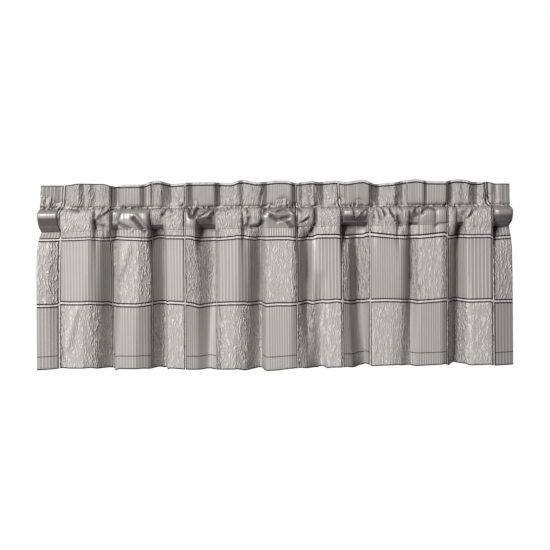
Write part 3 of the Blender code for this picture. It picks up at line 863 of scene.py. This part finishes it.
# The height of the header's top edge at places along it
TOP_EDGE = (
    (0.000, 0.0835), (0.070, 0.0835), (0.100, 0.0882), (0.165, 0.0867), (0.189, 0.0787),
    (0.208, 0.0837), (0.263, 0.0842), (0.278, 0.0915), (0.300, 0.0941), (0.330, 0.0845),
    (0.375, 0.0885), (0.435, 0.0885), (0.480, 0.0854), (0.500, 0.0935), (0.515, 0.0935),
    (0.539, 0.0874), (0.560, 0.0882), (0.591, 0.0917), (0.621, 0.0910), (0.636, 0.0850),
    (0.680, 0.0902), (0.695, 0.0865), (0.740, 0.0909), (0.763, 0.0857), (0.807, 0.0927),
    (0.837, 0.0805), (0.889, 0.0850), (0.912, 0.0897), (0.941, 0.0932), (0.964, 0.0875),
    (1.016, 0.0860), (1.038, 0.0917), (1.061, 0.0904), (1.076, 0.0845), (1.120, 0.0852),
    (1.135, 0.0802), (1.176, 0.0802),
)
TOP_EDGE_BEND = 0.0045

# How far the header leans sideways at places along the rod, against the skirt below it
LEANS = (
    (0.000, 0.008), (0.056, 0.014), (0.183, 0.003), (0.365, 0.000), (0.440, 0.005),
    (0.554, 0.007), (0.641, -0.002), (0.753, -0.008), (0.822, 0.004), (0.921, -0.005),
    (1.013, 0.003), (1.127, -0.012), (1.176, -0.003),
)

# How quickly the header leans and opens out above its stitches, and the groove that they draw
LEAN_REACH = 0.007
STITCH_REACH = 0.005
HEADER_TILT = 0.005
STITCH_GROOVE = 0.009
GROOVE_WIDTH = 0.0034


def header_run():
    """How far the header's top edge stands forward at each place of the lattice."""
    places, outs = [], []
    for ruffle in RUFFLES:
        places += [ruffle.foot, ruffle.face, ruffle.brow]
        outs += [ruffle.floor, ruffle.start, ruffle.crest]
    return rounded_run(places + [HUNG_WIDTH], outs + [0.002], RUFFLE_BEND)


HEADER_RUN = header_run()
TOP_RUN = rounded_run(*zip(*TOP_EDGE), TOP_EDGE_BEND)
HEADER_FOOT_RUN = puff_run("stitch")


def header_shape(place, up):
    """Points of the header's front, from 0 at its stitch line to 1 at its top edge."""
    above = HEADER_HEIGHT * up
    share = 0.6 * (1 - np.exp(-above / LEAN_REACH)) + 0.4 * up
    along = place + from_table(LEANS, place) * share
    ruffle = read(HEADER_RUN, along)
    foot = read(HEADER_FOOT_RUN, place)
    out = ruffle + (foot - ruffle) * np.exp(-above / STITCH_REACH) + HEADER_TILT * up
    out = out - STITCH_GROOVE * np.exp(-((above / GROOVE_WIDTH) ** 2))
    height = HEADER_STITCH + (read(TOP_RUN, along) - HEADER_STITCH) * up
    return np.stack([along - HUNG_WIDTH / 2, -out, height], axis=-1)


# The pocket's front: its puffs at 1 mm steps of height, from the lower stitches to the upper
PUFF_HEIGHTS = (-0.026, -0.013, 0.003, 0.016, 0.026)
PUFF_TURN = 0.0022
pocket_heights = np.arange(POCKET_STITCH, HEADER_STITCH + LATTICE_STEP / 2, LATTICE_STEP)
puff_parts = [puff_run(part) for part in ("seam", "low", "belly", "shoulder", "stitch")]
puff_grid = np.array(
    [
        [np.interp(height, PUFF_HEIGHTS, column) for height in pocket_heights]
        for column in np.array(puff_parts).T
    ]
)
spread = np.exp(-0.5 * (np.arange(-7, 8) * LATTICE_STEP / PUFF_TURN) ** 2)
spread /= spread.sum()
puff_grid = np.array(
    [np.convolve(np.pad(column, 7, mode="reflect", reflect_type="odd"), spread, mode="valid")
     for column in puff_grid]
)


def pocket_front(place, down):
    """Points of the pocket's front, from 0 at the header's stitches to 1 at the lower ones."""
    level = HEADER_STITCH - POCKET_HEIGHT * down
    row = (level - POCKET_STITCH) / LATTICE_STEP
    lower = min(int(row), len(pocket_heights) - 2)
    part = row - lower
    out = read(puff_grid[:, lower], place) * (1 - part)
    out = out + read(puff_grid[:, lower + 1], place) * part
    out = out - STITCH_GROOVE * np.exp(-(((HEADER_STITCH - level) / GROOVE_WIDTH) ** 2))
    height = level + from_table(STITCH_LEVELS, place) * down
    return np.stack([place - HUNG_WIDTH / 2, -out, height], axis=-1)


def pocket_back(place, down):
    """Points of the pocket's back, from 0 at the header's stitches to 1 at the lower ones."""
    level = HEADER_STITCH - POCKET_HEIGHT * down
    swell = 1 - np.abs(level / POCKET_STITCH) ** POCKET_ROUNDNESS
    flat = read(HEADER_FOOT_RUN, place) * (1 - down) + read(SEAM_RUN, place) * down
    low, high = MIDDLE_RUN.min(), MIDDLE_RUN.max()
    wall = -BACK_ROOM - BACK_SWELL * (high - read(MIDDLE_RUN, place)) / (high - low)
    height = level + from_table(STITCH_LEVELS, place) * down
    return np.stack([place - HUNG_WIDTH / 2, -flat - (wall - flat) * swell, height], axis=-1)


# Small pleats where the thread gathers the cloth, deepest at the stitch lines
PLEAT_WIDTH = 0.0165
PLEAT_WANDER = 0.020
PLEAT_DEPTH = 0.0046


def pleats(place, from_stitch, reach):
    """How far the small pleats push the cloth forward, at distances from a stitch line."""
    turns = place / PLEAT_WIDTH + 0.9 * np.sin(place / PLEAT_WANDER) + 0.4 * np.sin(place / 0.0083)
    uneven = 0.65 + 0.35 * np.sin(place / 0.031 + 1.0)
    return PLEAT_DEPTH * uneven * np.sin(2 * np.pi * turns) * np.exp(-np.abs(from_stitch) / reach)


# Rows run from the back's lower stitch up the back, over the top edge and down the front
HEADING_COLUMNS = 760
FRONT_DOWNS = np.linspace(0, 1, 29)
BACK_DOWNS = np.linspace(1, 0, 9)
FRONT_UPS = (0.985, 0.93, 0.85, 0.76, 0.66, 0.56, 0.46, 0.37, 0.28, 0.20, 0.14, 0.09, 0.05, 0.02)
BACK_UPS = (0.05, 0.15, 0.4, 0.7, 0.93, 0.985)
BACK_SPACE = 0.0032
FRONT_PLEATS = 0.08
HEADER_PLEAT_REACH, POCKET_PLEAT_REACH, POCKET_PLEATS = 0.030, 0.018, 0.6

# The front stands at least this far forward of the rod's axis, at heights within this of it
ROD_ROOM = 0.0172
ROD_HALF_HEIGHT = 0.0145

# How much cloth is in the pocket's front, and where its top and the header's top lie on the
# flat cloth
POCKET_CLOTH = 0.080
POCKET_TOP = FIRST_LINE_BELOW + POCKET_CLOTH
CLOTH_TOP = POCKET_TOP + HEADER_HEIGHT

SIDE_STEPS = 12
SIDE_LAYER = 0.0018
left_side = list(np.linspace(SIDE_HEM, 0.0008, SIDE_STEPS))
right_side_places = [HUNG_WIDTH - place for place in reversed(left_side)]

bends = np.abs(np.gradient(HEADER_RUN)) + np.abs(np.gradient(SEAM_RUN))
heading_run = MIDDLE_RUN + np.cumsum(bends)
heading_places = np.concatenate(
    [
        left_side,
        [0.0] * len(TURN_STEPS),
        even_columns(HEADING_COLUMNS, heading_run)[1:-1],
        [HUNG_WIDTH] * len(TURN_STEPS),
        right_side_places,
    ]
)
heading_turned = np.concatenate(
    [
        [1.0] * SIDE_STEPS,
        [1 - turned for turned in TURN_STEPS],
        [0.0] * (HEADING_COLUMNS - 2),
        list(TURN_STEPS),
        [1.0] * SIDE_STEPS,
    ]
)

front_face = [header_shape(heading_places, up) for up in FRONT_UPS]
front_up = [POCKET_TOP + HEADER_HEIGHT * up for up in FRONT_UPS]
front_face += [pocket_front(heading_places, down) for down in FRONT_DOWNS]
front_up += [POCKET_TOP - POCKET_CLOTH * down for down in FRONT_DOWNS]
back_face = [pocket_back(heading_places, down) for down in BACK_DOWNS]
back_up = [2 * CLOTH_TOP - POCKET_TOP + POCKET_CLOTH * down for down in BACK_DOWNS]
back_face += [header_shape(heading_places, up) for up in BACK_UPS]
back_up += [2 * CLOTH_TOP - POCKET_TOP - HEADER_HEIGHT * up for up in BACK_UPS]

front_face, back_face = np.array(front_face), np.array(back_face)
front_place = front_face[..., 0] + HUNG_WIDTH / 2
front_face[..., 1] -= creased(front_place, front_face[..., 2])
near_rod = np.abs(front_face[..., 2]) < ROD_HALF_HEIGHT
for face, share in ((front_face, FRONT_PLEATS), (back_face, 1.0)):
    along, up = heading_places[None, :], face[..., 2]
    pushed = pleats(along, up - HEADER_STITCH, HEADER_PLEAT_REACH)
    low_pleats = pleats(along + 0.3, up - POCKET_STITCH, POCKET_PLEAT_REACH)
    face[..., 1] -= share * (pushed + POCKET_PLEATS * low_pleats)
clear_of_rod = np.minimum(front_face[..., 1], -ROD_ROOM)
front_face[..., 1] = np.where(near_rod, clear_of_rod, front_face[..., 1])
across = unit(np.gradient(back_face, axis=1))
backward = unit(np.stack([-across[..., 1], across[..., 0], 0 * across[..., 0]], axis=-1))
backward = np.where(backward[..., 1:2] < 0, -backward, backward)
back_face = back_face + backward * BACK_SPACE
top_edge = header_shape(heading_places, 1.0)
over_top = [back_face[-1] * 0.15 + top_edge * 0.85 + backward[-1] * BACK_SPACE * 0.6, top_edge]
heading_front = np.concatenate([back_face, np.array(over_top), front_face])
heading_up = np.array(back_up + [CLOTH_TOP + 0.001, CLOTH_TOP] + front_up)
side_layer = SIDE_LAYER * heading_turned[None, :] + 0 * heading_up[:, None]
heading_points = to_back(heading_front, side_layer)

# How far past the top edge the pale line there has slipped to the front, at places along it
TOP_SLIPS = (
    (0.000, -0.0034), (0.185, -0.0034), (0.205, 0.0026), (1.110, 0.0026), (1.130, -0.0030),
)
in_header = np.clip((heading_up - POCKET_TOP) / HEADER_HEIGHT, 0, 1)
in_pocket = np.clip((POCKET_TOP - heading_up) / POCKET_CLOTH, 0, 1)
heading_flat = np.stack(
    np.broadcast_arrays(
        flat_across(heading_places)[None, :],
        heading_up[:, None]
        + in_pocket[:, None] * slipped(heading_places, 0.0)[None, :]
        + in_header[:, None] * from_table(TOP_SLIPS, heading_places)[None, :],
    ),
    axis=-1,
)

# How deep the heading's crinkles are
HEADING_SLACK = 0.30

# Its painted shade, from 0 to 1: in the gaps between the puffs, in the recesses behind their
# faces, on the low side of the four tubes, over the header, and along the header's stitches
GAP_REACH, GAP_FADE, GAP_SHADE = 0.0028, 0.010, 0.5
PUFF_FACE, RECESS_DEPTH, RECESS_TOP, RECESS_SHADE = 0.025, 0.022, 0.012, 0.6
TUBE_LOW, TUBE_TOP, TUBE_FOOT, TUBE_FADE, TUBE_SHADE = 0.0172, 0.008, -0.022, 0.007, 0.85
HEADER_SHADE = 0.2
STITCH_BLUR, STITCH_SHADE = 0.0030, 0.6

# Places and half widths of the painted shade spots where the stitches draw small tucks into the
# header
TUCK_SHADE, TUCK_HEIGHT, TUCK_RISE = 0.9, 0.0325, 0.0040
TUCK_SHADE_SPOTS = (
    (0.069, 0.0050), (0.208, 0.0065), (0.254, 0.0030), (0.353, 0.0080), (0.383, 0.0055),
    (0.448, 0.0035), (0.576, 0.0085), (0.638, 0.0040), (0.702, 0.0040), (0.745, 0.0045),
    (0.795, 0.0075), (0.868, 0.0035), (0.905, 0.0055), (0.990, 0.0035), (1.087, 0.0065),
    (1.150, 0.0040),
)
heading_slack = np.full((1, len(heading_places)), HEADING_SLACK)
gap_places, gap_shades = [0.0], [0.0]
for puff, following in zip(PUFFS, PUFFS[1:]):
    middle = (puff.right + following.left) / 2
    gap_places += [middle - GAP_REACH, middle, middle + GAP_REACH]
    gap_shades += [0.0, 1.0, 0.0]
in_gap = np.interp(heading_places, gap_places, gap_shades)
front_height = front_face[..., 2]
# Painted shade on the heading's front, laid on in the steps below
front_painted_shade = shaded(front_place, front_height)
between = np.clip((HEADER_STITCH - np.abs(front_height)) / GAP_FADE, 0, 1)
front_painted_shade = np.maximum(front_painted_shade, GAP_SHADE * in_gap[None, :] * between)
recess = np.clip((PUFF_FACE + front_face[..., 1]) / RECESS_DEPTH, 0, 1)
front_painted_shade = np.maximum(front_painted_shade, RECESS_SHADE * recess * (front_height < RECESS_TOP))
at_stitch = np.exp(-(((front_height - HEADER_STITCH) / STITCH_BLUR) ** 2))
front_painted_shade = np.maximum(front_painted_shade, STITCH_SHADE * at_stitch)
tubes = [puff for puff in PUFFS if puff.low == TUBE_LOW]
in_tube = np.any(
    [(front_place > puff.left) & (front_place < puff.right) for puff in tubes], axis=0
)
tube_shade = np.clip((TUBE_TOP - front_height) / TUBE_FADE, 0, 1)
tube_shade *= np.clip((front_height - TUBE_FOOT) / TUBE_FADE, 0, 1)
front_painted_shade = np.maximum(front_painted_shade, TUBE_SHADE * in_tube * tube_shade)
front_painted_shade = np.maximum(front_painted_shade, HEADER_SHADE * (front_height > HEADER_STITCH))
for tuck_place, tuck_width in TUCK_SHADE_SPOTS:
    apart = ((front_place - tuck_place) / tuck_width) ** 2
    apart = apart + ((front_height - TUCK_HEIGHT) / TUCK_RISE) ** 2
    front_painted_shade = np.maximum(front_painted_shade, TUCK_SHADE * np.exp(-apart))
behind = np.zeros((len(heading_up) - len(front_up), len(heading_places)))
heading_painted_shade = np.concatenate([behind, front_painted_shade])
heading = cloth_sheet(
    "heading", heading_points, heading_flat, heading_slack, heading_painted_shade, CLOTH_THICKNESS
)
heading.data.materials.append(right_side)
heading.data.materials.append(wrong_side)

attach(heading, "root")
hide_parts("rod_pocket_heading")


# ---- Floor, light and camera -----------------------------------------------------------------
# The valance hangs free, well above a pale floor, in soft light from the left and above, with a
# weaker lamp for the side that faces the wall. The camera stands level in front of it.

FLOOR_HEIGHT = -1.90
bpy.ops.mesh.primitive_circle_add(
    vertices=96, radius=2.0, fill_type="NGON", location=(0, 0, FLOOR_HEIGHT)
)
floor = bpy.context.object
floor.name = "floor"
pale = bpy.data.materials.new("pale floor")
pale.use_nodes = True
pale.node_tree.nodes["Principled BSDF"].inputs["Base Color"].default_value = (0.8, 0.8, 0.8, 1)
pale.node_tree.nodes["Principled BSDF"].inputs["Roughness"].default_value = 0.9
floor.data.materials.append(pale)

world = bpy.data.worlds.new("studio")
bpy.context.scene.world = world
world.use_nodes = True
ROOM_GLOW = 0.03
tree = world.node_tree
background = tree.nodes["Background"]
path = tree.nodes.new("ShaderNodeLightPath")
glow = tree.nodes.new("ShaderNodeMapRange")
glow.inputs["To Min"].default_value = ROOM_GLOW
glow.inputs["To Max"].default_value = 1.0
tree.links.new(path.outputs["Is Camera Ray"], glow.inputs["Value"])
background.inputs["Color"].default_value = (1, 1, 1, 1)
tree.links.new(glow.outputs["Result"], background.inputs["Strength"])

# Each lamp's place is a bearing from straight in front, a height angle and a distance
Lamp = namedtuple("Lamp", "name bearing rise away width height power")
LAMPS = (
    Lamp("key", bearing=-33, rise=24, away=6.0, width=2.0, height=2.0, power=492),
    Lamp("back", bearing=170, rise=50, away=6.0, width=2.0, height=2.0, power=260),
)
for lamp in LAMPS:
    bearing, rise = math.radians(lamp.bearing), math.radians(lamp.rise)
    place = (
        lamp.away * math.sin(bearing) * math.cos(rise),
        -lamp.away * math.cos(bearing) * math.cos(rise),
        lamp.away * math.sin(rise),
    )
    bpy.ops.object.light_add(type="AREA", location=place)
    light = bpy.context.object
    light.name = lamp.name
    light.data.shape = "RECTANGLE"
    light.data.size = lamp.width
    light.data.size_y = lamp.height
    light.data.energy = lamp.power
    toward = -light.location
    light.rotation_euler = toward.to_track_quat("-Z", "Y").to_euler()

# The camera's view is this wide at the rod, and is moved down by a share of the frame
CAMERA_DISTANCE = 2.0
CAMERA_HEIGHT = 0.056
CAMERA_ROLL = 0.45
VIEW_WIDTH = 1.376
SENSOR_WIDTH = 36
VIEW_SHIFT = -80 / 550
bpy.ops.object.camera_add(
    location=(0.0, -CAMERA_DISTANCE, CAMERA_HEIGHT),
    rotation=(math.radians(90), math.radians(CAMERA_ROLL), 0),
)
camera = bpy.context.object
camera.data.sensor_width = SENSOR_WIDTH
camera.data.lens = SENSOR_WIDTH * CAMERA_DISTANCE / VIEW_WIDTH
camera.data.shift_y = VIEW_SHIFT
bpy.context.scene.camera = camera
bpy.context.scene.view_settings.view_transform = "Standard"
